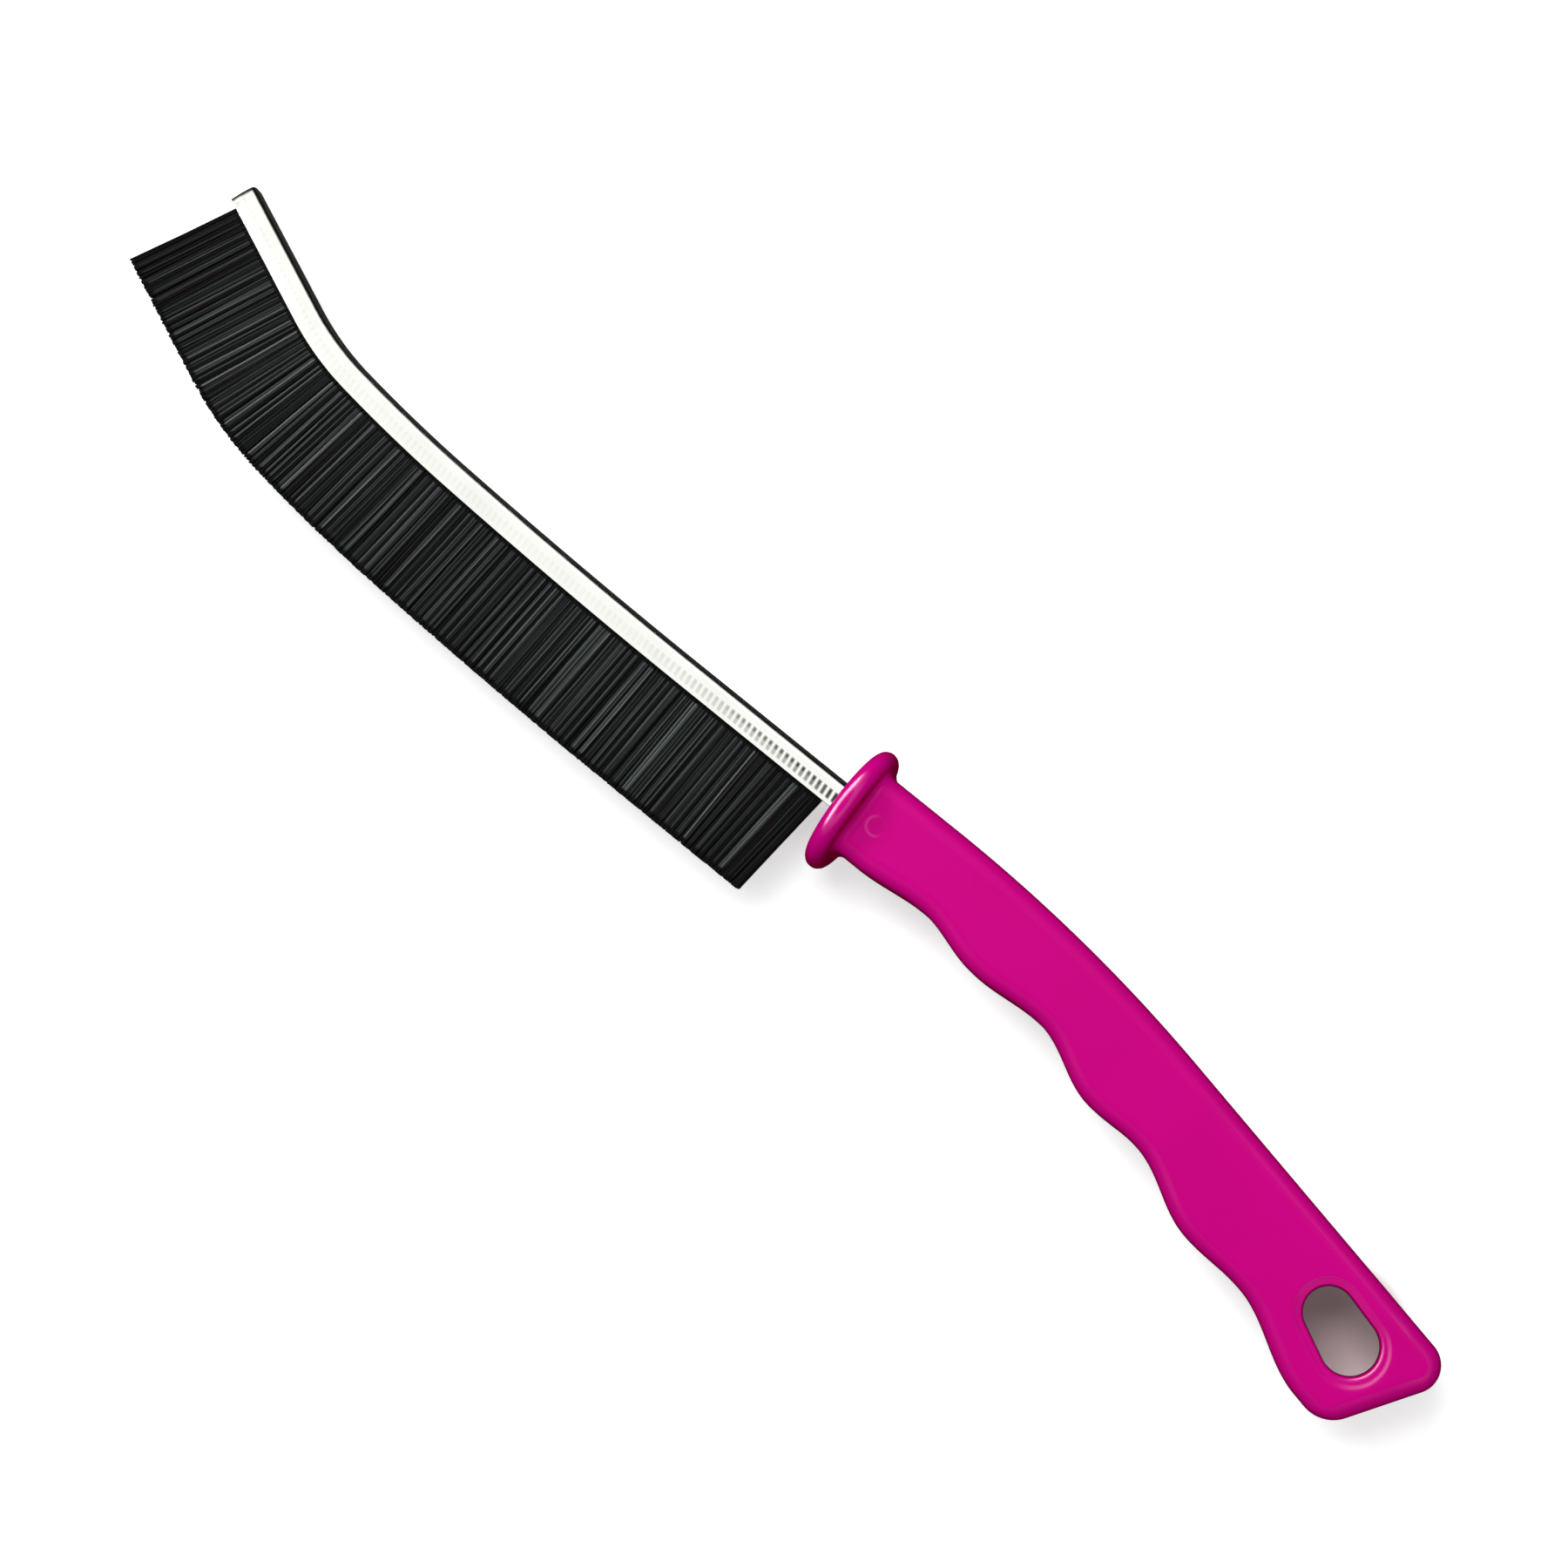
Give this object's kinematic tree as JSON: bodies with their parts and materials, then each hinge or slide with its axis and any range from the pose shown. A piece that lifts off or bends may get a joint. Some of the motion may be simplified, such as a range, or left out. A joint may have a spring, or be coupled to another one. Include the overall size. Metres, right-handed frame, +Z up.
{
  "type": "crevice brush",
  "caption": "Slim hand brush for gaps: stiff black filaments in a bent steel channel, set in a moulded handle with finger grooves, a round flange and a hang hole.",
  "frame": {"origin": "under the middle of the brush's box, on the surface that it lies on", "axes": "+X along the steel channel where it leaves the handle, towards the tip; +Y to the bristle side; +Z up, across the brush, which lies on its side"},
  "size_m": [0.288, 0.0476, 0.0231],
  "materials": {
    "handle_plastic": "glossy moulded magenta plastic, as it leaves the mould",
    "channel_steel": "bright rolled steel strip with crimp marks",
    "wire_steel": "drawn wire",
    "filament": "stiff black extruded filament, semi-matt"
  },
  "bodies": {
    "root": {"handle": "handle_plastic", "channel": "channel_steel", "core_wire": "wire_steel", "bristles_1": "filament", "bristles_2": "filament", "bristles_3": "filament", "bristles_4": "filament", "bristles_5": "filament"}
  },
  "joints": []
}
